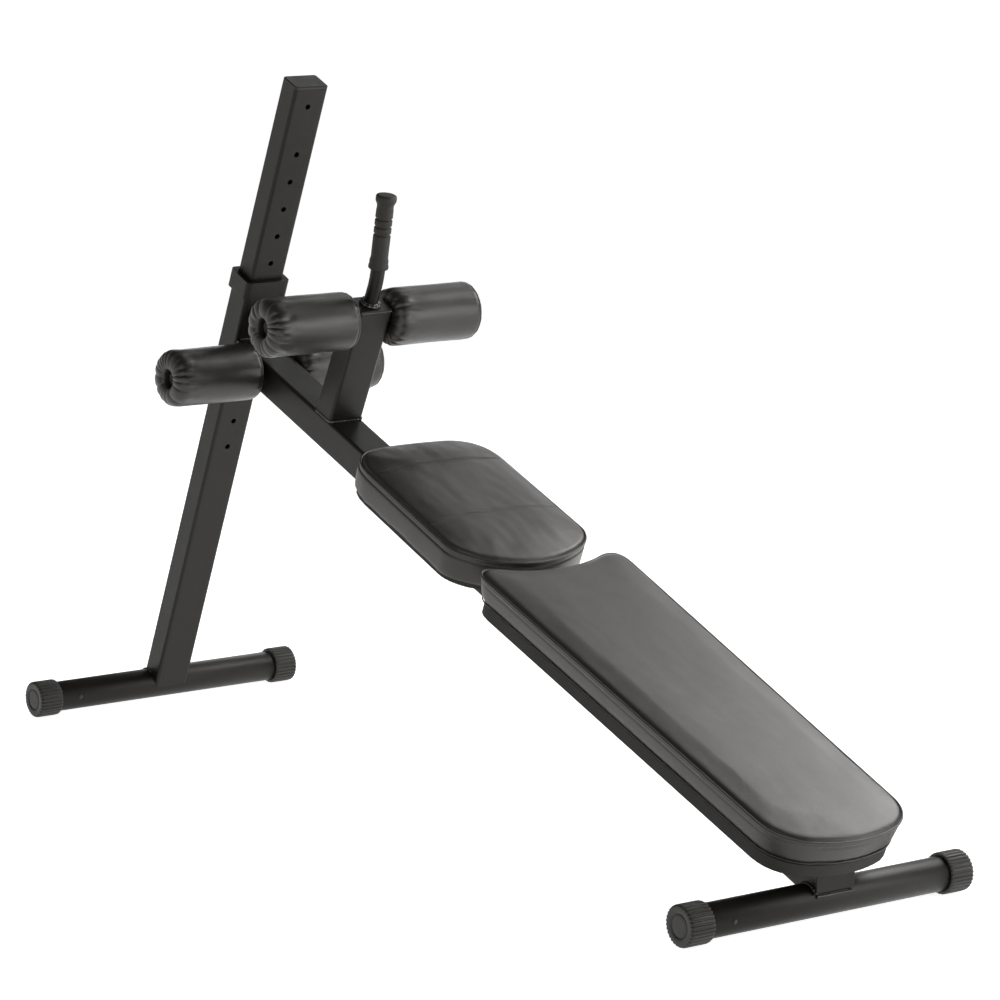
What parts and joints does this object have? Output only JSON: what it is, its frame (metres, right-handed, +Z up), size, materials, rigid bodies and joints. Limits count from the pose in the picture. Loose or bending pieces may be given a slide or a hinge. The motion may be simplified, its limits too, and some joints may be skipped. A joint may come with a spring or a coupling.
{
  "type": "decline sit up bench",
  "caption": "Decline sit-up bench: padded seat and back on a sloping beam, foam leg rollers, a rear post with a pinned height sleeve, an upright handle and tubular feet.",
  "frame": {"origin": "on the floor, at the middle of the bounding box", "axes": "+X from the rear post to the front foot, +Y across the bench, +Z up"},
  "size_m": [1.775, 0.49, 1.0477],
  "materials": {
    "frame_paint": "satin black powder coat",
    "cap_plastic": "moulded matt",
    "zinc_steel": "bright zinc plate",
    "wrapped_board": "plywood wrapped in black vinyl",
    "pad_vinyl": "fine-grained black vinyl over foam",
    "roller_vinyl": "soft black vinyl over foam",
    "grip_rubber": "matt moulded"
  },
  "bodies": {
    "bench_frame": {"front_stabilizer": "frame_paint", "front_foot_cap_left": "cap_plastic", "front_foot_cap_right": "cap_plastic", "front_cap_screw": "zinc_steel", "main_beam": "frame_paint", "beam_end_plate": "frame_paint", "adjuster_sleeve": "frame_paint", "sleeve_collar": "frame_paint", "pin_barrel": "frame_paint", "pin_spring": "zinc_steel", "seat_board": "wrapped_board", "seat_cushion": "pad_vinyl", "seat_bolt_1": "zinc_steel", "seat_bolt_2": "zinc_steel", "back_board": "wrapped_board", "back_cushion": "pad_vinyl", "back_bolt_1": "zinc_steel", "back_bolt_2": "zinc_steel", "back_bolt_3": "zinc_steel", "roller_post": "frame_paint", "roller_post_plate": "frame_paint", "upper_axle": "frame_paint", "upper_axle_plug_left": "cap_plastic", "upper_axle_plug_right": "cap_plastic", "lower_axle": "frame_paint", "lower_axle_plug_left": "cap_plastic", "lower_axle_plug_right": "cap_plastic", "handle_tube": "frame_paint", "handle_grip": "grip_rubber"},
    "post_assembly": {"rear_post": "frame_paint", "rear_post_plug": "cap_plastic", "rear_stabilizer": "frame_paint", "rear_foot_cap_left": "cap_plastic", "rear_foot_cap_right": "cap_plastic", "rear_cap_screw": "zinc_steel"},
    "pull_pin": {"lock_pin": "zinc_steel", "pin_knob": "cap_plastic"},
    "roller_upper_left": {"upper_roller_left": "roller_vinyl"},
    "roller_upper_right": {"upper_roller_right": "roller_vinyl"},
    "roller_lower_left": {"lower_roller_left": "roller_vinyl"},
    "roller_lower_right": {"lower_roller_right": "roller_vinyl"}
  },
  "joints": [
    {"name": "post_slide", "type": "slide", "parent": "bench_frame", "child": "post_assembly", "axis": [0.3971, 0, 0.9178], "range_m": [-0.285, 0.2375]},
    {"name": "pin_pull", "type": "slide", "parent": "bench_frame", "child": "pull_pin", "axis": [0.9178, 0, -0.3971], "range_m": [0, 0.008], "stiffness_N_per_m": 800, "springref_m": -0.004, "deforming": ["pin_spring"]},
    {"name": "upper_left_spin", "type": "hinge", "parent": "bench_frame", "child": "roller_upper_left", "pos_m": [-0.25887, -0.112, 0.69158], "axis": [0, 1, 0], "continuous": true},
    {"name": "upper_right_spin", "type": "hinge", "parent": "bench_frame", "child": "roller_upper_right", "pos_m": [-0.25887, 0.112, 0.69158], "axis": [0, 1, 0], "continuous": true},
    {"name": "lower_left_spin", "type": "hinge", "parent": "bench_frame", "child": "roller_lower_left", "pos_m": [-0.52446, -0.112, 0.58518], "axis": [0, 1, 0], "continuous": true},
    {"name": "lower_right_spin", "type": "hinge", "parent": "bench_frame", "child": "roller_lower_right", "pos_m": [-0.52446, 0.112, 0.58518], "axis": [0, 1, 0], "continuous": true}
  ]
}
